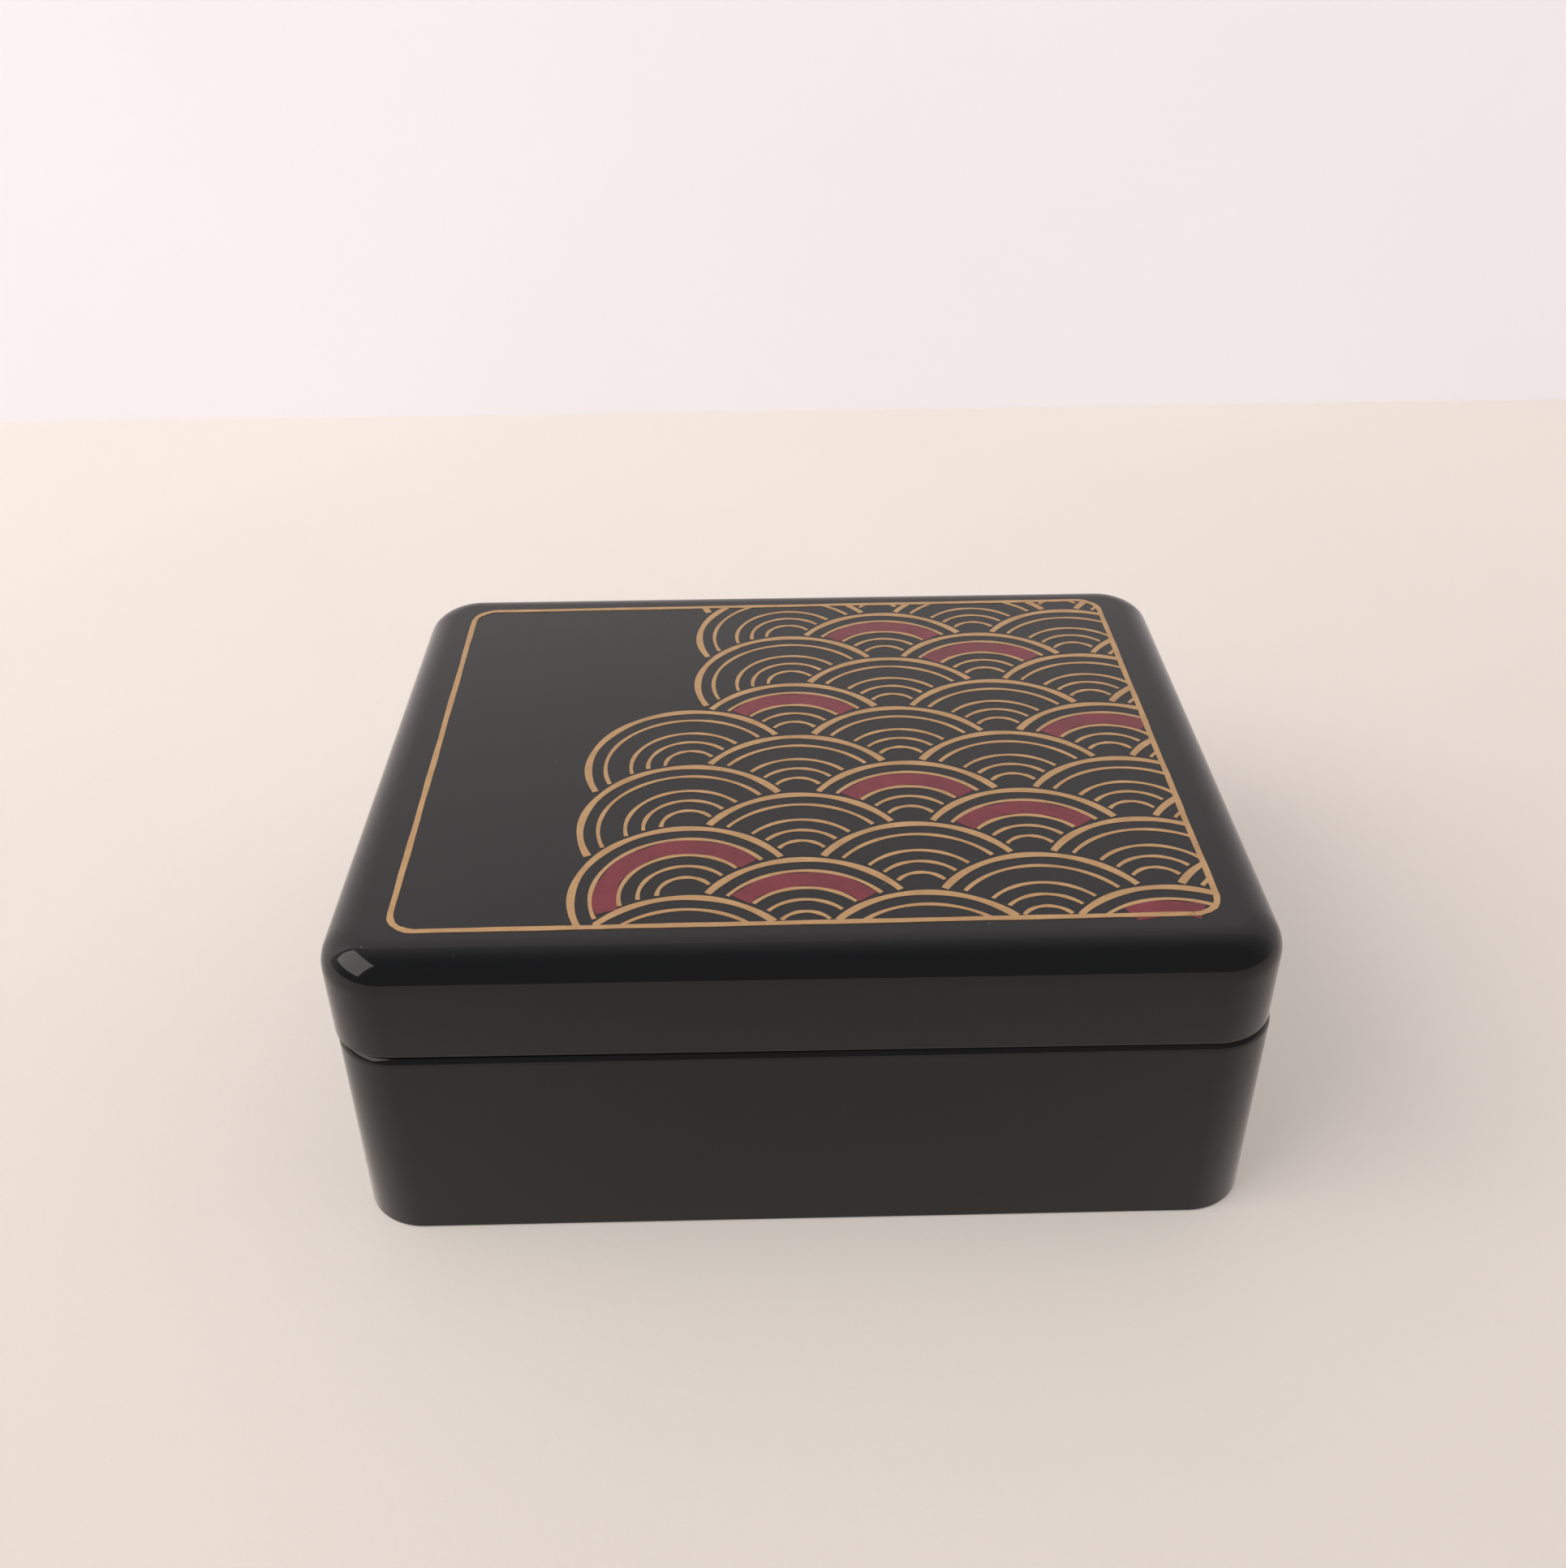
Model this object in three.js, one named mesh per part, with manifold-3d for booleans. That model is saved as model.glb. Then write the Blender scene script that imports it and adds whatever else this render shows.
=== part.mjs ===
// A lacquered wooden trinket box with a lift-off lid, in millimetres, +Z up.
// The origin is the centre of the underside, +X runs along the long side and -Y is the front.
//
// The base and the lid are frames of boards with finger joints at the corners, which are rounded
// after glueing. The base has a floor panel in a rebate and a rim of mitred strips that stands
// above the seam. The lid drops over that rim and sits flush with the base all round.

import * as THREE from "three";
import { mergeVertices } from "three/addons/utils/BufferGeometryUtils.js";
import Module from "manifold-3d";

// Overall sizes.
const LENGTH = 120;
const DEPTH = 98;
const BASE_HEIGHT = 30.5; // from the table to the seam
const LID_FRAME_HEIGHT = 9.5; // from the seam to the underside of the lid's panel
const CORNER_RADIUS = 8.5; // upright corners, outside

// Base frame.
const BASE_WALL = 5;
const BASE_FINGERS = 5; // per corner, counted up the joint
const SEAM_ROUND = 1.5; // round on the base's upper outer edge

// Floor panel, let into a rebate that is routed round the underside of the base frame. It is
// flush with the frame underneath.
const FLOOR_THICKNESS = 4;
const REBATE_LEDGE = 2.5; // wall left outside the rebate
const FLOOR_GAP = 0.2; // round the panel's edge

// Rim strips, which line the base and stand above the seam.
const RIM_THICKNESS = 2.2;
const RIM_RISE = 5; // above the seam
const RIM_ROUND = 0.8; // on both upper edges
const RIM_CORNER_RADIUS = 1;

// Lid frame and panel.
const LID_CLEARANCE = 0.4; // between the rim and the lid's frame
const LID_FINGERS = 3;
const LID_LOWER_ROUND = 0.5; // eased lower outer edge
const LID_PANEL_THICKNESS = 5.5; // above the lid's boards
const LID_PANEL_ROUND = 5; // the big round along the lid's upper edge
const LID_FIELD_DEPTH = 1.5; // raised field that drops inside the lid's frame
const LID_FIELD_GAP = 0.3;
const LID_FIELD_RADIUS = 1;

// Lining pad on the floor.
const LINING_THICKNESS = 1.8;
const LINING_ROUND = 0.9;
const LINING_GAP = 0.5;
const LINING_CORNER_RADIUS = 2;

// Steps of the round surfaces.
const CORNER_STEPS = 10;
const BIG_ROUND_STEPS = 10;
const SMALL_ROUND_STEPS = 3;
const OVERRUN = 1; // how far a cutter runs past the face that it cuts

const wasm = await Module();
wasm.setup();

const lacquer = new THREE.MeshStandardMaterial({ color: 0x0b0a0b, roughness: 0.08, metalness: 0 });
const lining = new THREE.MeshStandardMaterial({ color: 0x5e1020, roughness: 0.95, metalness: 0 });

// Heights that several pieces share.
const FLOOR_TOP = FLOOR_THICKNESS;
const RIM_TOP = BASE_HEIGHT + RIM_RISE;
const LID_FRAME_TOP = BASE_HEIGHT + LID_FRAME_HEIGHT;
const LID_WALL = BASE_WALL - LID_CLEARANCE;

// A closed geometry as a solid that can be cut and joined.
function solidOf(geometry) {
  const bare = geometry.clone();
  bare.deleteAttribute("normal");
  bare.deleteAttribute("uv");
  const merged = mergeVertices(bare, 1e-5);
  return new wasm.Manifold(
    new wasm.Mesh({
      numProp: 3,
      vertProperties: merged.attributes.position.array,
      triVerts: new Uint32Array(merged.index.array),
    }),
  );
}

function geometryOf(solid) {
  const mesh = solid.getMesh();
  const geometry = new THREE.BufferGeometry();
  geometry.setAttribute("position", new THREE.BufferAttribute(mesh.vertProperties, 3));
  geometry.setIndex(new THREE.BufferAttribute(mesh.triVerts, 1));
  geometry.computeVertexNormals();
  return geometry;
}

// Anticlockwise outline of a rectangle with round corners, centred on the origin.
function roundedOutline(length, depth, radius) {
  const corners = [
    [1, -1, -90],
    [1, 1, 0],
    [-1, 1, 90],
    [-1, -1, 180],
  ];
  return corners.flatMap(([side, end, start]) =>
    Array.from({ length: CORNER_STEPS + 1 }, (_, i) => {
      const angle = THREE.MathUtils.degToRad(start + (90 * i) / CORNER_STEPS);
      return new THREE.Vector2(
        side * (length / 2 - radius) + radius * Math.cos(angle),
        end * (depth / 2 - radius) + radius * Math.sin(angle),
      );
    }),
  );
}

// Solid skinned over a stack of outlines with equal numbers of points, from the lowest up.
function loft(rings) {
  const count = rings[0].outline.length;
  const positions = rings.flatMap(({ outline, z }) => outline.flatMap((p) => [p.x, p.y, z]));
  const faces = [];
  for (let ring = 0; ring < rings.length - 1; ring++) {
    for (let i = 0; i < count; i++) {
      const a = ring * count + i;
      const b = ring * count + ((i + 1) % count);
      faces.push(a, b, b + count, a, b + count, a + count);
    }
  }
  const top = (rings.length - 1) * count;
  for (const [a, b, c] of THREE.ShapeUtils.triangulateShape(rings[0].outline, [])) faces.push(a, c, b);
  for (const [a, b, c] of THREE.ShapeUtils.triangulateShape(rings.at(-1).outline, [])) {
    faces.push(top + a, top + b, top + c);
  }
  const geometry = new THREE.BufferGeometry();
  geometry.setAttribute("position", new THREE.Float32BufferAttribute(positions, 3));
  geometry.setIndex(faces);
  return solidOf(geometry);
}

// Quarter round from an upright side to a flat face at height z, which lies above the side where
// up is 1 and below it where up is -1. A negative radius flares outwards.
function quarterRound(radius, z, up, steps) {
  if (radius === 0) return [{ inset: 0, z }];
  return Array.from({ length: steps + 1 }, (_, i) => {
    const angle = ((Math.PI / 2) * i) / steps;
    return {
      inset: radius * (1 - Math.cos(angle)),
      z: z - up * Math.abs(radius) * (1 - Math.sin(angle)),
    };
  });
}

// Slab with round upright corners and rounds along its lower and upper edges. A negative upper
// round makes a cutter for an opening with an eased edge.
function roundedSlab(size) {
  const { length, depth, radius, bottom, top } = size;
  const { lowerRound = 0, upperRound = 0, steps = SMALL_ROUND_STEPS } = size;
  const profile = [
    ...quarterRound(lowerRound, bottom, -1, steps).reverse(),
    ...quarterRound(upperRound, top, 1, steps),
  ];
  return loft(
    profile.map(({ inset, z }) => ({
      outline: roundedOutline(length - 2 * inset, depth - 2 * inset, radius - inset),
      z,
    })),
  );
}

function block(x0, x1, y0, y1, z0, z1) {
  const geometry = new THREE.BoxGeometry(x1 - x0, y1 - y0, z1 - z0);
  geometry.translate((x0 + x1) / 2, (y0 + y1) / 2, (z0 + z1) / 2);
  return solidOf(geometry);
}

function prism(points, bottom, top) {
  const shape = new THREE.Shape(points.map(([x, y]) => new THREE.Vector2(x, y)));
  const geometry = new THREE.ExtrudeGeometry(shape, { depth: top - bottom, bevelEnabled: false });
  geometry.translate(0, 0, bottom);
  return solidOf(geometry);
}

// Cuts a hollow frame into four boards with finger joints. The long boards, front and back, keep
// the lowest finger of each corner, and the fingers alternate from there up.
function fingerJointedBoards(frame, { wall, bottom, top, fingers }) {
  const x = LENGTH / 2;
  const y = DEPTH / 2;
  const pitch = (top - bottom) / fingers;
  const cornerFingers = (side, end, parity) => {
    const boxes = [];
    for (let i = parity; i < fingers; i += 2) {
      const low = i === 0 ? bottom - OVERRUN : bottom + i * pitch;
      const high = i === fingers - 1 ? top + OVERRUN : bottom + (i + 1) * pitch;
      const xs = [side * (x - wall), side * (x + OVERRUN)].sort((a, b) => a - b);
      const ys = [end * (y - wall), end * (y + OVERRUN)].sort((a, b) => a - b);
      boxes.push(block(...xs, ...ys, low, high));
    }
    return boxes;
  };
  const board = (stock, corners, parity) =>
    corners
      .flatMap(([side, end]) => cornerFingers(side, end, parity))
      .reduce((rest, finger) => rest.subtract(finger), frame.intersect(stock));
  const long = (end) => {
    const ys = [end * (y - wall), end * (y + OVERRUN)].sort((a, b) => a - b);
    const stock = block(-x - OVERRUN, x + OVERRUN, ...ys, bottom - OVERRUN, top + OVERRUN);
    return board(stock, [[-1, end], [1, end]], 1);
  };
  const short = (side) => {
    const xs = [side * (x - wall), side * (x + OVERRUN)].sort((a, b) => a - b);
    const stock = block(...xs, -y - OVERRUN, y + OVERRUN, bottom - OVERRUN, top + OVERRUN);
    return board(stock, [[side, -1], [side, 1]], 0);
  };
  return { front: long(-1), back: long(1), left: short(-1), right: short(1) };
}

// Base: four boards, rounded along the seam, with the rebate for the floor panel.
function baseBoards() {
  const outside = roundedSlab({
    length: LENGTH,
    depth: DEPTH,
    radius: CORNER_RADIUS,
    bottom: 0,
    top: BASE_HEIGHT,
    upperRound: SEAM_ROUND,
  });
  const inside = block(
    -LENGTH / 2 + BASE_WALL,
    LENGTH / 2 - BASE_WALL,
    -DEPTH / 2 + BASE_WALL,
    DEPTH / 2 - BASE_WALL,
    -OVERRUN,
    BASE_HEIGHT + OVERRUN,
  );
  const rebate = floorSlab(0, -OVERRUN);
  const frame = outside.subtract(inside).subtract(rebate);
  return fingerJointedBoards(frame, { wall: BASE_WALL, bottom: 0, top: BASE_HEIGHT, fingers: BASE_FINGERS });
}

// The rebate's outline, smaller by a gap, from a given height up to the top of the floor.
function floorSlab(gap, bottom) {
  const inset = REBATE_LEDGE + gap;
  return roundedSlab({
    length: LENGTH - 2 * inset,
    depth: DEPTH - 2 * inset,
    radius: CORNER_RADIUS - inset,
    bottom,
    top: FLOOR_TOP,
  });
}

// Rim: a ring with eased upper edges, mitred into four strips.
function rimStrips() {
  const length = LENGTH - 2 * BASE_WALL;
  const depth = DEPTH - 2 * BASE_WALL;
  const outside = roundedSlab({
    length,
    depth,
    radius: RIM_CORNER_RADIUS,
    bottom: FLOOR_TOP,
    top: RIM_TOP,
    upperRound: RIM_ROUND,
  });
  const opening = roundedSlab({
    length: length - 2 * RIM_THICKNESS,
    depth: depth - 2 * RIM_THICKNESS,
    radius: RIM_CORNER_RADIUS,
    bottom: FLOOR_TOP - OVERRUN,
    top: RIM_TOP,
    upperRound: -RIM_ROUND,
  });
  const ring = outside.subtract(opening);
  const reach = RIM_THICKNESS + OVERRUN;
  const mitred = (halfLength, halfDepth, turn) => {
    const trapezoid = [
      [-halfLength - OVERRUN, -halfDepth - OVERRUN],
      [halfLength + OVERRUN, -halfDepth - OVERRUN],
      [halfLength - reach, -halfDepth + reach],
      [-halfLength + reach, -halfDepth + reach],
    ].map(([u, v]) => turn(u, v));
    return ring.intersect(prism(trapezoid, FLOOR_TOP - OVERRUN, RIM_TOP + OVERRUN));
  };
  return {
    front: mitred(length / 2, depth / 2, (u, v) => [u, v]),
    back: mitred(length / 2, depth / 2, (u, v) => [-u, -v]),
    left: mitred(depth / 2, length / 2, (u, v) => [v, -u]),
    right: mitred(depth / 2, length / 2, (u, v) => [-v, u]),
  };
}

function floorLining() {
  const inset = BASE_WALL + RIM_THICKNESS + LINING_GAP;
  return roundedSlab({
    length: LENGTH - 2 * inset,
    depth: DEPTH - 2 * inset,
    radius: LINING_CORNER_RADIUS,
    bottom: FLOOR_TOP,
    top: FLOOR_TOP + LINING_THICKNESS,
    upperRound: LINING_ROUND,
  });
}

// Lid: four boards with an eased lower outer edge.
function lidBoards() {
  const outside = roundedSlab({
    length: LENGTH,
    depth: DEPTH,
    radius: CORNER_RADIUS,
    bottom: BASE_HEIGHT,
    top: LID_FRAME_TOP,
    lowerRound: LID_LOWER_ROUND,
  });
  const inside = block(
    -LENGTH / 2 + LID_WALL,
    LENGTH / 2 - LID_WALL,
    -DEPTH / 2 + LID_WALL,
    DEPTH / 2 - LID_WALL,
    BASE_HEIGHT - OVERRUN,
    LID_FRAME_TOP + OVERRUN,
  );
  const frame = outside.subtract(inside);
  return fingerJointedBoards(frame, {
    wall: LID_WALL,
    bottom: BASE_HEIGHT,
    top: LID_FRAME_TOP,
    fingers: LID_FINGERS,
  });
}

// Lid panel: full size, with the big round, and a field below that centres it in the frame.
function lidPanel() {
  const panel = roundedSlab({
    length: LENGTH,
    depth: DEPTH,
    radius: CORNER_RADIUS,
    bottom: LID_FRAME_TOP,
    top: LID_FRAME_TOP + LID_PANEL_THICKNESS,
    upperRound: LID_PANEL_ROUND,
    steps: BIG_ROUND_STEPS,
  });
  const inset = LID_WALL + LID_FIELD_GAP;
  const field = roundedSlab({
    length: LENGTH - 2 * inset,
    depth: DEPTH - 2 * inset,
    radius: LID_FIELD_RADIUS,
    bottom: LID_FRAME_TOP - LID_FIELD_DEPTH,
    top: LID_FRAME_TOP + OVERRUN,
  });
  return panel.add(field);
}

function piece(name, solid, material) {
  const mesh = new THREE.Mesh(geometryOf(solid), material);
  mesh.name = name;
  return mesh;
}

const boards = baseBoards();
const strips = rimStrips();
const lidFrame = lidBoards();

const base = new THREE.Group();
base.add(
  piece("base_front_board", boards.front, lacquer),
  piece("base_back_board", boards.back, lacquer),
  piece("base_left_board", boards.left, lacquer),
  piece("base_right_board", boards.right, lacquer),
  piece("base_floor_panel", floorSlab(FLOOR_GAP, 0), lacquer),
  piece("rim_front_strip", strips.front, lacquer),
  piece("rim_back_strip", strips.back, lacquer),
  piece("rim_left_strip", strips.left, lacquer),
  piece("rim_right_strip", strips.right, lacquer),
  piece("floor_lining", floorLining(), lining),
);

const lid = new THREE.Group();
lid.add(
  piece("lid_front_board", lidFrame.front, lacquer),
  piece("lid_back_board", lidFrame.back, lacquer),
  piece("lid_left_board", lidFrame.left, lacquer),
  piece("lid_right_board", lidFrame.right, lacquer),
  piece("lid_top_panel", lidPanel(), lacquer),
);

const box = new THREE.Group();
box.add(base, lid);

export default box;
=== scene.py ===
import math
import random

import bmesh
import bpy
from mathutils import Matrix, Vector


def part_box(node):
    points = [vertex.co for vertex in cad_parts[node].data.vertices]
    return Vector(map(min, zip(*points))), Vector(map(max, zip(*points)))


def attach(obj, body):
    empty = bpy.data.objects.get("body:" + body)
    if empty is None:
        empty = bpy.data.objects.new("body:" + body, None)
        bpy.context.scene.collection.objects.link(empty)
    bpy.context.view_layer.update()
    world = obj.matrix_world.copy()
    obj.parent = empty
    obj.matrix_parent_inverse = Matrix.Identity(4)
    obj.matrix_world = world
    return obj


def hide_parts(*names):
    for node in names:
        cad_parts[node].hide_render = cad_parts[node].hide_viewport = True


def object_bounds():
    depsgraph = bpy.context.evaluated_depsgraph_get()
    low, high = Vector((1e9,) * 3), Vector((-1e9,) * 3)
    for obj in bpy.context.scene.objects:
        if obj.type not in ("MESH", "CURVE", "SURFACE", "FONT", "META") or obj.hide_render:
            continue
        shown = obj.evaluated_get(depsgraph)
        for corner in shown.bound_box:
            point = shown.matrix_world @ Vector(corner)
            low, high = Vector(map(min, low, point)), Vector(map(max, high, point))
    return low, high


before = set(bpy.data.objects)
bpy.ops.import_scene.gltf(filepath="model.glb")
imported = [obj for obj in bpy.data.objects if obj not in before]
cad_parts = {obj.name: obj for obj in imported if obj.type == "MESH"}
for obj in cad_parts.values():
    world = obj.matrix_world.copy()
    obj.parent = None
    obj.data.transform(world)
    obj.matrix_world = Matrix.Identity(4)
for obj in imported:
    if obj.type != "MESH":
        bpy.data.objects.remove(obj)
cad_box = [list(corner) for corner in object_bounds()]

MM = 0.001
SIDES = ("front", "back", "left", "right")

# Sizes that come from the frame
LENGTH = cad_box[1][0] - cad_box[0][0]
DEPTH = cad_box[1][1] - cad_box[0][1]
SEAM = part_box("base_front_board")[1].z
BASE_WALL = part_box("base_front_board")[1].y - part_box("base_front_board")[0].y
FLOOR_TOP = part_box("base_floor_panel")[1].z
FLOOR_INSET = LENGTH / 2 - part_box("base_floor_panel")[1].x
RIM_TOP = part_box("rim_front_strip")[1].z
LID_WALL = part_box("lid_front_board")[1].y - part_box("lid_front_board")[0].y
LID_FRAME_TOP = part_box("lid_front_board")[1].z
LID_FIELD_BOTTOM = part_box("lid_top_panel")[0].z
LID_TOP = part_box("lid_top_panel")[1].z
LINING_LOW, LINING_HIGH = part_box("floor_lining")

# Rounds and gaps
CORNER_RADIUS = 8.5 * MM
INNER_RADIUS = 1 * MM
FOOT_EASE = 0.4 * MM
SEAM_ROUND = 1.4 * MM
LID_LOWER_ROUND = 0.5 * MM
LID_ROUND = 5 * MM
RIM_THICKNESS = 2.2 * MM
RIM_ROUND = 0.8 * MM
JOINT_GAP = 0.2 * MM
JOINT_DEPTH = 0.8 * MM
HAIR = 0.02 * MM
FLAT_BORDER = 0.4 * MM  # ring that keeps the shading of a flat face flat
SHARP_ANGLE = math.radians(35)

# Lining pad
LINING_CROWN = 0.35 * MM
LINING_ROUND = 0.75 * MM
LINING_TUCK = -20  # degrees, how far the round turns in below
LINING_CORNER = 2 * MM
LINING_LEAST_CORNER = 0.6 * MM
LINING_MIDDLE = 3 * MM  # half the depth of the level middle
LINING_RINGS = 24

# The lid sits loosely: a little to the left and turned
LID_SHIFT = -0.2 * MM
LID_TURN = math.radians(-0.2)

# Painted decoration, on the lid's top
PRINT_LENGTH = 103.9 * MM
PRINT_DEPTH = 85 * MM
PRINT_RADIUS = 4 * MM
PRINT_CENTRE = (0.03 * MM, 0.13 * MM)
PRINT_TURN = math.radians(0.54)
PAINT_SUNK = 0.02 * MM
GOLD_RISE = 0.05 * MM
BORDER_RISE = 0.07 * MM  # covers the ends of the waves
CRIMSON_RISE = 0.03 * MM
MOST_PHASE = 6

# Border line
BORDER_WIDTH = 0.8 * MM
BORDER_STEP = 2 * MM
BORDER_WAVER = 0.0007  # share of the distance from the decoration's middle
BORDER_WELD = 1e-7

# Wave scales
SCALE_RADIUS = 15 * MM
SCALE_SHIFT = 1.5 * MM  # keeps a row from only peeping over the border line
SCALE_COLUMNS = 4  # on each side of the middle
SCALE_COVER = 1.02  # what a scale hides of those behind it, as a share of its radius
OUTER_LINE_WIDTH = 0.95 * MM
INNER_LINE_WIDTH = 0.55 * MM
OUTER_LINE = 0.96  # radius, as a share of the scale's
INNER_LINES = (0.8, 0.56, 0.4, 0.24)
CRIMSON_MIDDLE = 0.68
CRIMSON_WIDTH = 0.2
CRIMSON_EVERY = 3
LINE_WAVER = 0.12  # share of a line's width
LINE_WAVER_PACE = 0.3  # radians for each step of an arc
SHORTEST_RUN = 4  # points

# Left edge of the wave scales: it leans and steps in and out
EDGE_X = -17 * MM
EDGE_LEAN = 0.22
EDGE_SWING = 5 * MM
EDGE_PACE = 13 * MM

# Camera, fitted to the photograph
PHOTO_LONG_SIDE = 1932
FOCAL_PIXELS = 1965
SENSOR = 36
CAMERA_PLACE = (-4.8 * MM, -195.4 * MM, 168.4 * MM)
CAMERA_PITCH = math.radians(56.29)
CAMERA_YAW = math.radians(-0.82)
CAMERA_ROLL = math.radians(-0.57)

# Steps of the round surfaces
CORNER_STEPS = 18
ROUND_STEPS = 16
ARC_STEPS = 180

random.seed(7)


# Shapes
def outline(half_x, half_y, radius):
    """Anticlockwise points of a rectangle with round corners."""
    points = []
    for side, end, start in ((1, -1, -90), (1, 1, 0), (-1, 1, 90), (-1, -1, 180)):
        for i in range(CORNER_STEPS + 1):
            angle = math.radians(start + 90 * i / CORNER_STEPS)
            x = side * (half_x - radius) + radius * math.cos(angle)
            y = end * (half_y - radius) + radius * math.sin(angle)
            points.append((x, y))
    return points


def quarter(inset, z, radius, start, end, steps=ROUND_STEPS):
    """Part of a circle in a profile, in degrees from outwards (0) to up (90)."""
    angles = [math.radians(start + (end - start) * i / steps) for i in range(steps + 1)]
    return [(inset - radius * math.cos(a), z + radius * math.sin(a)) for a in angles]


def outer(profile):
    """Adds the corner radius that follows the box's outside at each inset."""
    return [(inset, z, CORNER_RADIUS - inset) for inset, z in profile]


def inner(profile):
    """Adds the small corner radius of the box's inside."""
    return [(inset, z, INNER_RADIUS) for inset, z in profile]


def object_of(name, bm, material):
    """Turns a bmesh into a smooth-shaded object with sharp edges where faces meet steeply."""
    bmesh.ops.recalc_face_normals(bm, faces=bm.faces)
    mesh = bpy.data.meshes.new(name)
    bm.to_mesh(mesh)
    bm.free()
    mesh.shade_smooth()
    mesh.set_sharp_from_angle(angle=SHARP_ANGLE)
    mesh.materials.append(material)
    made = bpy.data.objects.new(name, mesh)
    bpy.context.scene.collection.objects.link(made)
    return made


def loft(name, profile, material, closed=False, length=LENGTH, depth=DEPTH):
    """Skin over rounded rectangles, one for each (inset, z, radius) of the profile."""
    bm = bmesh.new()
    rings = []
    for inset, z, radius in profile:
        points = outline(length / 2 - inset, depth / 2 - inset, radius)
        rings.append([bm.verts.new((x, y, z)) for x, y in points])
    pairs = list(zip(rings, rings[1:]))
    if closed:
        pairs.append((rings[-1], rings[0]))
    else:
        bm.faces.new(rings[0])
        bm.faces.new(rings[-1])
    for low, high in pairs:
        for i in range(len(low)):
            j = (i + 1) % len(low)
            bm.faces.new((low[i], low[j], high[j], high[i]))
    return object_of(name, bm, material)


# Materials
class Nodes:
    """A new material's node tree, with short calls to add to it."""

    def __init__(self, name):
        self.material = bpy.data.materials.new(name)
        self.material.use_nodes = True
        self.tree = self.material.node_tree
        self.shader = self.tree.nodes["Principled BSDF"]
        self.place = self.add("ShaderNodeTexCoord").outputs["Object"]

    def add(self, kind, inputs=(), **settings):
        node = self.tree.nodes.new(kind)
        for key, value in settings.items():
            setattr(node, key, value)
        for key, value in dict(inputs).items():
            self.put(node.inputs[key], value)
        return node

    def put(self, socket, value):
        if isinstance(value, bpy.types.NodeSocket):
            self.tree.links.new(value, socket)
        else:
            socket.default_value = value

    def set(self, **values):
        """Sets the shader's inputs, with an underscore for each space in a name."""
        for key, value in values.items():
            self.put(self.shader.inputs[key.replace("_", " ")], value)

    def noise(self, scale, detail=2.0, stretch=(1, 1, 1)):
        mapping = self.add("ShaderNodeMapping", {"Vector": self.place, "Scale": stretch})
        inputs = {"Vector": mapping.outputs[0], "Scale": scale, "Detail": detail}
        return self.add("ShaderNodeTexNoise", inputs).outputs["Fac"]

    def span(self, value, low, high, to_low, to_high):
        inputs = {"Value": value, "From Min": low, "From Max": high, "To Min": to_low, "To Max": to_high}
        return self.add("ShaderNodeMapRange", inputs).outputs["Result"]

    def times(self, a, b):
        return self.add("ShaderNodeMath", {0: a, 1: b}, operation="MULTIPLY").outputs[0]

    def plus(self, a, b):
        return self.add("ShaderNodeMath", {0: a, 1: b}, operation="ADD").outputs[0]

    def mix(self, share, a, b):
        return self.add("ShaderNodeMixRGB", {"Fac": share, "Color1": a, "Color2": b}).outputs["Color"]

    def bump(self, height, distance, strength):
        inputs = {"Height": height, "Distance": distance, "Strength": strength}
        self.set(Normal=self.add("ShaderNodeBump", inputs).outputs["Normal"])


def lacquer_material():
    """High-gloss black lacquer with a faint orange peel, hairline scratches and dust."""
    black = (0.004, 0.0048, 0.0062, 1)
    dust = (0.2, 0.18, 0.16, 1)
    dust_scale = 210.0
    n = Nodes("black_lacquer")
    normal = n.add("ShaderNodeNewGeometry").outputs["Normal"]
    up = n.add("ShaderNodeSeparateXYZ", {"Vector": normal}).outputs["Z"]
    facing_up = n.span(up, 0.6, 0.95, 0, 1)
    cells = n.add("ShaderNodeTexVoronoi", {"Vector": n.place, "Scale": dust_scale})
    speck = n.times(n.span(cells.outputs["Distance"], 0.012, 0.03, 1, 0), facing_up)
    scratches = n.span(n.noise(900, 1, (1, 0.03, 1)), 0.7, 0.74, 0, 0.1)
    haze = n.span(n.noise(35, 3), 0.35, 0.7, 0.015, 0.045)
    n.set(Base_Color=n.mix(speck, black, dust), IOR=1.43)
    n.set(Roughness=n.plus(n.plus(haze, scratches), n.times(speck, 0.5)))
    peel = n.plus(n.times(n.noise(420, 1), 0.35), n.noise(60, 1))
    n.bump(n.plus(peel, n.times(speck, 3.0)), 0.006 * MM, 0.35)
    return n.material


def gold_material():
    """Brushed-on gold paint, thinner in places."""
    thin = (0.58, 0.34, 0.15, 1)
    full = (0.7, 0.43, 0.2, 1)
    n = Nodes("gold_paint")
    tone = n.span(n.noise(260, 3), 0.3, 0.7, 0, 1)
    n.set(Base_Color=n.mix(tone, thin, full), Metallic=0.15)
    n.set(Roughness=n.span(n.noise(700), 0.3, 0.7, 0.26, 0.44))
    n.bump(n.noise(1500), 0.01 * MM, 0.5)
    return n.material


def crimson_material():
    """Crimson paint, thinner in places."""
    thin = (0.19, 0.01, 0.024, 1)
    full = (0.28, 0.018, 0.04, 1)
    n = Nodes("crimson_paint")
    tone = n.span(n.noise(180, 3), 0.3, 0.7, 0, 1)
    n.set(Base_Color=n.mix(tone, thin, full))
    n.set(Roughness=n.span(n.noise(500), 0.3, 0.7, 0.14, 0.28))
    n.bump(n.noise(900), 0.01 * MM, 0.4)
    return n.material


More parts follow.
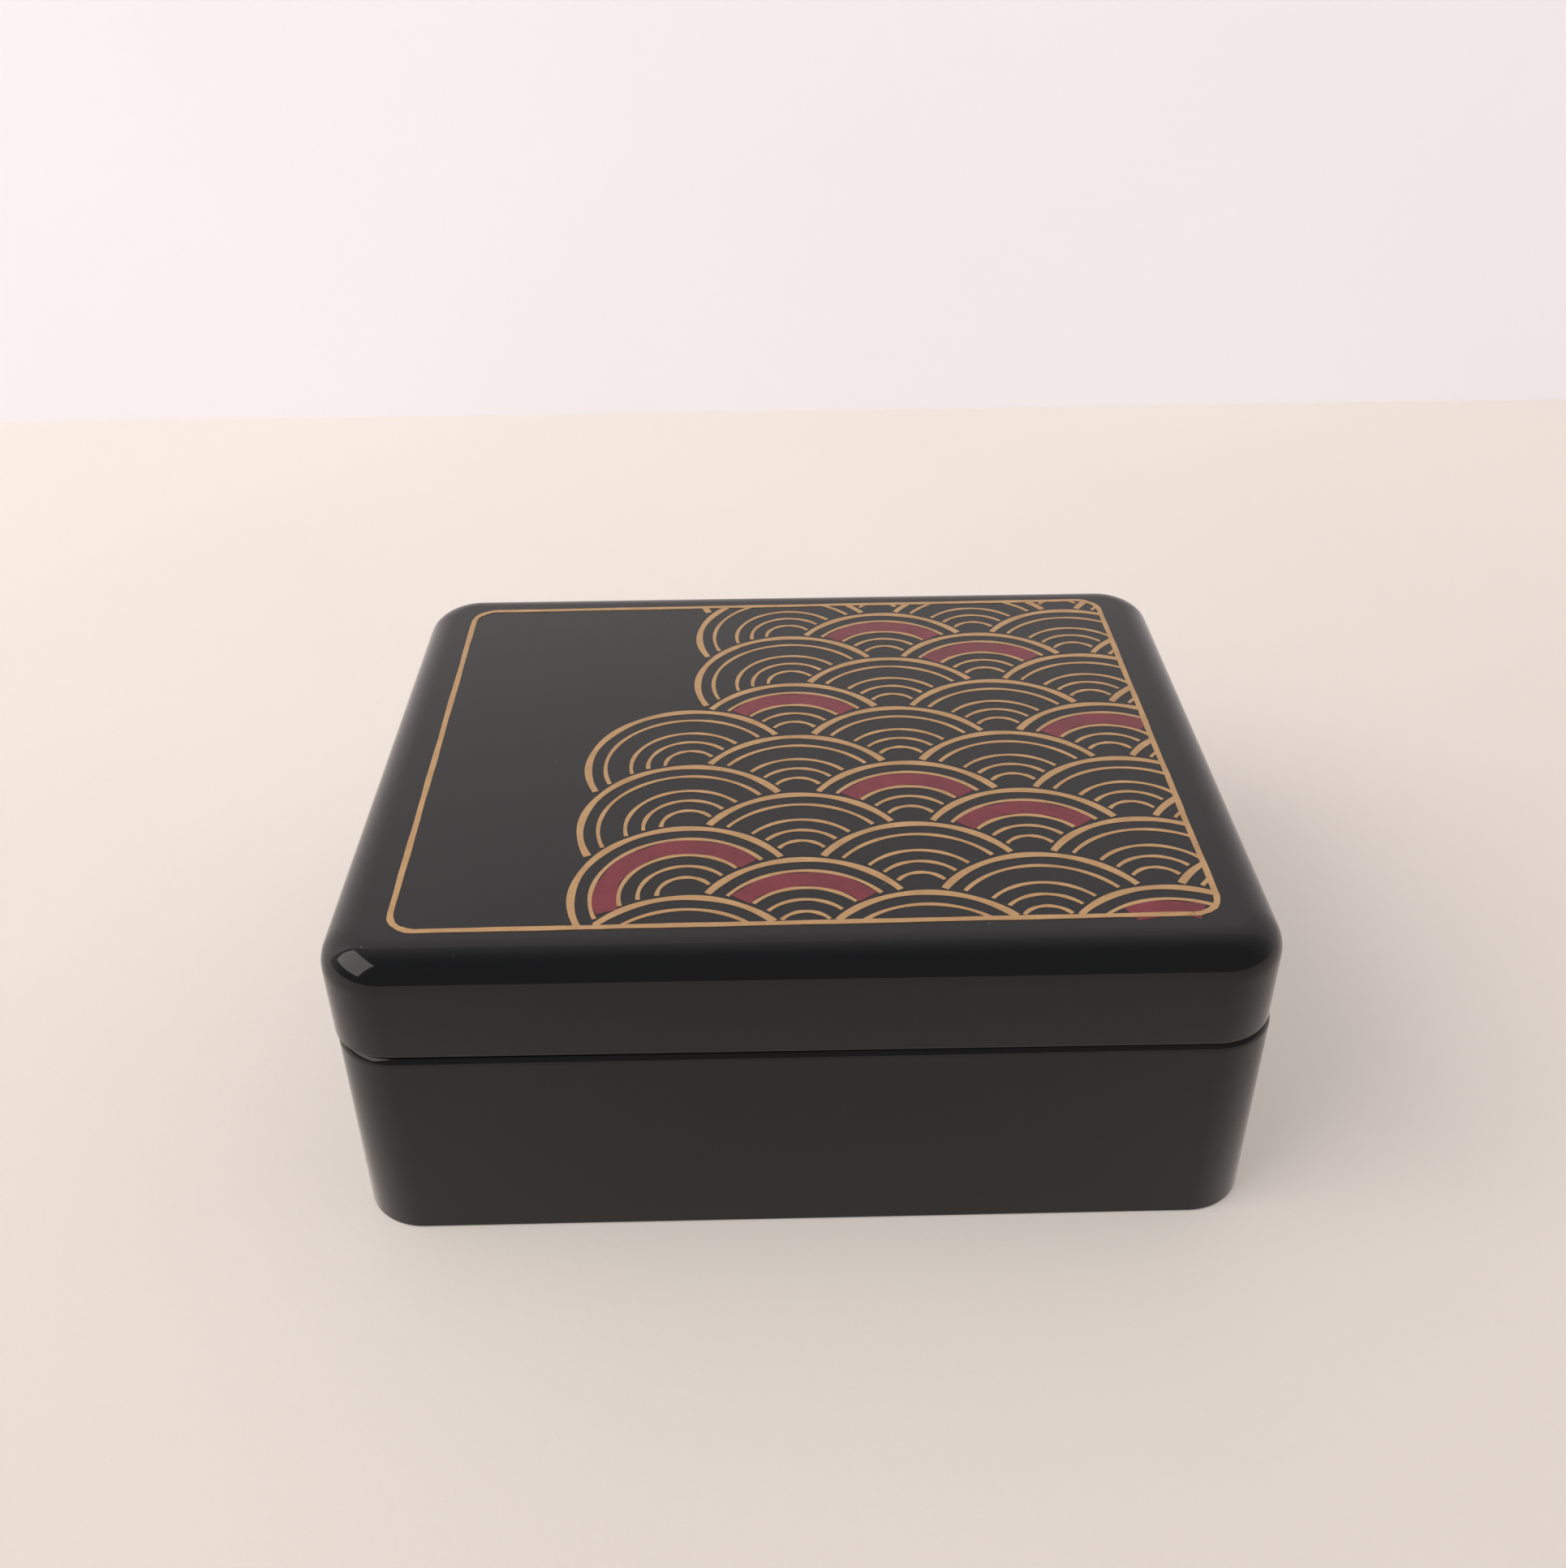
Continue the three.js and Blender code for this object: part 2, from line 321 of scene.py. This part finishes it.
def velvet_material():
    """Short-pile crimson velvet."""
    deep = (0.09, 0.006, 0.014, 1)
    bright = (0.22, 0.02, 0.04, 1)
    sheen = (0.8, 0.3, 0.35, 1)
    n = Nodes("lining_velvet")
    tone = n.plus(n.times(n.noise(90, 3), 0.6), n.times(n.noise(1800, 2), 0.4))
    n.set(Base_Color=n.mix(n.span(tone, 0.3, 0.7, 0, 1), deep, bright), Roughness=0.92)
    n.set(Sheen_Weight=0.7, Sheen_Roughness=0.35, Sheen_Tint=sheen)
    n.bump(n.noise(2600, 2), 0.15 * MM, 0.7)
    return n.material


lacquer = lacquer_material()
gold = gold_material()
crimson = crimson_material()
velvet = velvet_material()


# Base
def make_base():
    joint = FLOOR_INSET - JOINT_GAP
    profile = outer([(FLOOR_INSET + FLAT_BORDER, 0), (FLOOR_INSET, 0), (FLOOR_INSET, JOINT_DEPTH)])
    profile += outer([(joint, JOINT_DEPTH), (joint, 0)])
    profile += outer(quarter(FOOT_EASE, FOOT_EASE, FOOT_EASE, -90, 0, steps=4))
    profile += outer(quarter(SEAM_ROUND, SEAM - SEAM_ROUND, SEAM_ROUND, 0, 90))
    profile += outer([(SEAM_ROUND + FLAT_BORDER, SEAM)])
    profile += inner([(BASE_WALL, SEAM), (BASE_WALL, FLOOR_TOP), (BASE_WALL + FLAT_BORDER, FLOOR_TOP)])
    shell = loft("base_shell", profile, lacquer)
    boards = [f"base_{side}_board" for side in SIDES]
    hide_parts(*boards, "base_floor_panel")
    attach(shell, "base")


def make_rim():
    outside = BASE_WALL + HAIR
    inside = BASE_WALL + RIM_THICKNESS
    shoulder = RIM_TOP - RIM_ROUND
    profile = inner([(outside, FLOOR_TOP + HAIR)])
    profile += inner(quarter(outside + RIM_ROUND, shoulder, RIM_ROUND, 0, 90, steps=8))
    profile += inner(quarter(inside - RIM_ROUND, shoulder, RIM_ROUND, 90, 180, steps=8))
    profile += inner([(inside, FLOOR_TOP + HAIR)])
    ring = loft("inner_rim", profile, lacquer, closed=True)
    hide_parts(*[f"rim_{side}_strip" for side in SIDES])
    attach(ring, "base")


def make_lining():
    """Soft pad: full along the edges, with a low crown."""
    length = LINING_HIGH.x - LINING_LOW.x
    depth = LINING_HIGH.y - LINING_LOW.y
    edge_top = LINING_HIGH.z - LINING_CROWN
    profile = [(LINING_ROUND, LINING_LOW.z + HAIR)]
    profile += quarter(LINING_ROUND, edge_top - LINING_ROUND, LINING_ROUND, LINING_TUCK, 90, steps=8)
    reach = depth / 2 - LINING_MIDDLE
    for i in range(1, LINING_RINGS + 1):
        share = i / LINING_RINGS
        inset = LINING_ROUND + (reach - LINING_ROUND) * share
        profile.append((inset, edge_top + LINING_CROWN * math.sin(math.pi / 2 * share)))
    full = [(inset, z, max(LINING_CORNER - inset, LINING_LEAST_CORNER)) for inset, z in profile]
    pad = loft("lining_pad", full, velvet, length=length, depth=depth)
    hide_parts("floor_lining")
    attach(pad, "base")


# Lid
def seat_lid_piece(piece):
    """Puts a lid piece where the loose lid lies, and rides it on the lid."""
    piece.data.transform(Matrix.Translation((LID_SHIFT, 0, 0)) @ Matrix.Rotation(LID_TURN, 4, "Z"))
    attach(piece, "lid")


def make_lid():
    field = LID_WALL + JOINT_GAP
    profile = outer([(LID_ROUND + FLAT_BORDER, LID_TOP)])
    profile += outer(quarter(LID_ROUND, LID_TOP - LID_ROUND, LID_ROUND, 90, 0))
    profile += outer(quarter(LID_LOWER_ROUND, SEAM + LID_LOWER_ROUND, LID_LOWER_ROUND, 0, -90, steps=6))
    profile += inner([(LID_WALL, SEAM), (LID_WALL, LID_FRAME_TOP), (field, LID_FRAME_TOP)])
    profile += inner([(field, LID_FIELD_BOTTOM), (field + FLAT_BORDER, LID_FIELD_BOTTOM)])
    shell = loft("lid_shell", profile, lacquer)
    boards = [f"lid_{side}_board" for side in SIDES]
    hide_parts(*boards, "lid_top_panel")
    seat_lid_piece(shell)


# Decoration: a plain border line and a lattice of overlapping wave scales
def seat_paint(piece):
    """Puts a painted piece where the decoration lies on the lid."""
    piece.data.transform(Matrix.Translation((*PRINT_CENTRE, 0)) @ Matrix.Rotation(PRINT_TURN, 4, "Z"))
    seat_lid_piece(piece)


def strip(bm, left, right, rise):
    """Adds a strip of paint between two rows of points on the lid's top."""
    low = LID_TOP - PAINT_SUNK
    high = LID_TOP + rise
    sections = []
    for (x0, y0), (x1, y1) in zip(left, right):
        corners = ((x0, y0, low), (x1, y1, low), (x1, y1, high), (x0, y0, high))
        sections.append([bm.verts.new(corner) for corner in corners])
    for a, b in zip(sections, sections[1:]):
        for i in range(4):
            j = (i + 1) % 4
            bm.faces.new((a[i], b[i], b[j], a[j]))
    bm.faces.new(sections[0])
    bm.faces.new(sections[-1])


def divided(points, step):
    """A closed row of points, with more of them along its long stretches."""
    fine = []
    for (x0, y0), (x1, y1) in zip(points, points[1:] + points[:1]):
        count = max(1, round(math.hypot(x1 - x0, y1 - y0) / step))
        fine += [(x0 + (x1 - x0) * i / count, y0 + (y1 - y0) * i / count) for i in range(count)]
    return fine


def wavered(row):
    """A row of points, moved in and out by two waves like a hand's."""
    phase = random.uniform(0, MOST_PHASE)
    moved = []
    for i, (x, y) in enumerate(row):
        slow = math.sin(i * 0.61 + phase)
        quick = 0.6 * math.sin(i * 1.7 + 2 * phase)
        swell = 1 + BORDER_WAVER * (slow + quick)
        moved.append((x * swell, y * swell))
    return moved


def make_border():
    """Hand-drawn line: its two edges waver on their own."""
    bm = bmesh.new()
    rows = []
    for inset in (0, BORDER_WIDTH):
        points = outline(PRINT_LENGTH / 2 - inset, PRINT_DEPTH / 2 - inset, PRINT_RADIUS - inset)
        rows.append(divided(points, BORDER_STEP))
    shorter = min(len(row) for row in rows)
    edges = [wavered(row[:shorter]) for row in rows]
    strip(bm, *[edge + edge[:1] for edge in edges], BORDER_RISE)
    bmesh.ops.remove_doubles(bm, verts=bm.verts, dist=BORDER_WELD)
    seat_paint(object_of("border_line", bm, gold))


def in_print(x, y):
    """True as far as the middle of the border line, where the waves end."""
    inset = BORDER_WIDTH / 2
    radius = PRINT_RADIUS - inset
    dx = abs(x) - (PRINT_LENGTH / 2 - inset - radius)
    dy = abs(y) - (PRINT_DEPTH / 2 - inset - radius)
    if dx > 0 and dy > 0:
        return math.hypot(dx, dy) < radius
    return dx < radius and dy < radius


def scale_centres():
    """Lattice of scales, rows from the front to the back, to the right of their left edge."""
    centres = []
    rows = math.ceil(PRINT_DEPTH / SCALE_RADIUS) + 2
    for row in range(-rows, rows + 1):
        y = row * SCALE_RADIUS / 2 + SCALE_SHIFT
        left_edge = EDGE_X + EDGE_LEAN * y + EDGE_SWING * math.sin(y / EDGE_PACE)
        for column in range(-SCALE_COLUMNS, SCALE_COLUMNS + 1):
            x = (2 * column + row % 2) * SCALE_RADIUS
            if x >= left_edge:
                centres.append((row, column, x, y))
    return centres


def visible_runs(centres, centre, radius):
    """Stretches of a circle, as (step, angle) pairs, that no scale nearer the front covers."""
    cx, cy = centre
    nearer = [
        (x, y) for _, _, x, y in centres
        if y < cy - SCALE_RADIUS / 4 and math.hypot(x - cx, y - cy) < 2 * SCALE_RADIUS
    ]
    runs = [[]]
    for i in range(ARC_STEPS + 1):
        angle = -math.pi / 2 + 2 * math.pi * i / ARC_STEPS
        x = cx + radius * math.cos(angle)
        y = cy + radius * math.sin(angle)
        covered = any(math.hypot(x - nx, y - ny) < SCALE_COVER * SCALE_RADIUS for nx, ny in nearer)
        if in_print(x, y) and not covered:
            runs[-1].append((i, angle))
        else:
            runs.append([])
    return [run for run in runs if len(run) >= SHORTEST_RUN]


def scale_arc(bm, centres, centre, radius, width, rise):
    """Adds the visible strips of one arc of a scale."""
    cx, cy = centre
    phase = random.uniform(0, MOST_PHASE)
    for run in visible_runs(centres, centre, radius):
        left = []
        right = []
        for i, angle in run:
            half = width / 2 * (1 + LINE_WAVER * math.sin(i * LINE_WAVER_PACE + phase))
            for edge, r in ((left, radius + half), (right, radius - half)):
                edge.append((cx + r * math.cos(angle), cy + r * math.sin(angle)))
        strip(bm, left, right, rise)


def make_scales():
    centres = scale_centres()
    lines = bmesh.new()
    bands = bmesh.new()
    widths = [(OUTER_LINE, OUTER_LINE_WIDTH)] + [(share, INNER_LINE_WIDTH) for share in INNER_LINES]
    for row, column, x, y in centres:
        for share, width in widths:
            scale_arc(lines, centres, (x, y), share * SCALE_RADIUS, width, GOLD_RISE)
        if (row + column) % CRIMSON_EVERY == 0:
            middle = CRIMSON_MIDDLE * SCALE_RADIUS
            scale_arc(bands, centres, (x, y), middle, CRIMSON_WIDTH * SCALE_RADIUS, CRIMSON_RISE)
    seat_paint(object_of("wave_lines", lines, gold))
    seat_paint(object_of("wave_bands", bands, crimson))


make_base()
make_rim()
make_lining()
make_lid()
make_border()
make_scales()


# Stage
def stage_plane(name, corners, color, near_glow, far_glow):
    """Pale matt plane that camera and glossy rays see a little brighter than it is lit."""
    near = -0.1
    far = 0.25
    mesh = bpy.data.meshes.new(name)
    mesh.from_pydata(corners, [], [(0, 1, 2, 3)])
    n = Nodes(name)
    dim = [c * 0.96 for c in color]
    tone = n.span(n.noise(9, 3), 0.3, 0.7, 0, 1)
    n.set(Base_Color=n.mix(tone, (*dim, 1), (*color, 1)), Roughness=0.8)
    path = n.add("ShaderNodeLightPath").outputs
    seen = n.plus(path["Is Camera Ray"], path["Is Glossy Ray"])
    depth = n.add("ShaderNodeSeparateXYZ", {"Vector": n.place}).outputs["Y"]
    glow = n.span(depth, near, far, near_glow, far_glow)
    n.set(Emission_Color=(*color, 1), Emission_Strength=n.times(seen, glow))
    n.bump(n.noise(700, 4), 0.1 * MM, 0.4)
    mesh.materials.append(n.material)
    made = bpy.data.objects.new(name, mesh)
    bpy.context.scene.collection.objects.link(made)


def make_stage():
    wide = 1.6
    wall_y = 0.254
    wall_top = 0.9
    floor = [(-wide, -wide, 0), (wide, -wide, 0), (wide, wall_y, 0), (-wide, wall_y, 0)]
    wall = [(-wide, wall_y, 0), (wide, wall_y, 0), (wide, wall_y, wall_top), (-wide, wall_y, wall_top)]
    stage_plane("floor", floor, (0.86, 0.785, 0.73), near_glow=0.25, far_glow=0.46)
    stage_plane("backdrop", wall, (0.85, 0.8, 0.82), near_glow=0.55, far_glow=0.55)


def make_window():
    """Soft light from the left."""
    data = bpy.data.lights.new("window", "AREA")
    data.shape = "RECTANGLE"
    data.size = 1.3
    data.size_y = 1.1
    data.energy = 10.5
    data.color = (1.0, 0.97, 0.93)
    lamp = bpy.data.objects.new("window", data)
    lamp.location = (-1.1, -0.45, 0.95)
    lamp.rotation_euler = (-Vector(lamp.location)).to_track_quat("-Z", "Y").to_euler()
    bpy.context.scene.collection.objects.link(lamp)


def make_room():
    """World that is bright at the back and dim at the front, and full bright to the camera."""
    world = bpy.data.worlds.new("room")
    bpy.context.scene.world = world
    world.use_nodes = True
    tree = world.node_tree
    background = tree.nodes["Background"]
    direction = tree.nodes.new("ShaderNodeTexCoord")
    split = tree.nodes.new("ShaderNodeSeparateXYZ")
    strength = tree.nodes.new("ShaderNodeMapRange")
    strength.interpolation_type = "SMOOTHSTEP"
    for key, value in {"From Min": -0.5, "From Max": 0.75, "To Min": 0.3, "To Max": 1.0}.items():
        strength.inputs[key].default_value = value
    path = tree.nodes.new("ShaderNodeLightPath")
    shown = tree.nodes.new("ShaderNodeMath")
    shown.operation = "MAXIMUM"
    tree.links.new(direction.outputs["Generated"], split.inputs["Vector"])
    tree.links.new(split.outputs["Y"], strength.inputs["Value"])
    tree.links.new(strength.outputs["Result"], shown.inputs[0])
    tree.links.new(path.outputs["Is Camera Ray"], shown.inputs[1])
    tree.links.new(shown.outputs[0], background.inputs["Strength"])
    background.inputs["Color"].default_value = (0.93, 0.91, 0.9, 1)


def make_camera():
    data = bpy.data.cameras.new("camera")
    data.sensor_width = SENSOR
    data.lens = FOCAL_PIXELS * SENSOR / PHOTO_LONG_SIDE
    data.clip_start = 0.01
    camera = bpy.data.objects.new("camera", data)
    place = Matrix.Translation(CAMERA_PLACE)
    turn = Matrix.Rotation(CAMERA_YAW, 4, "Z") @ Matrix.Rotation(CAMERA_PITCH, 4, "X")
    camera.matrix_world = place @ turn @ Matrix.Rotation(CAMERA_ROLL, 4, "Z")
    bpy.context.scene.collection.objects.link(camera)
    bpy.context.scene.camera = camera


make_stage()
make_window()
make_room()
make_camera()
bpy.context.scene.view_settings.view_transform = "Standard"
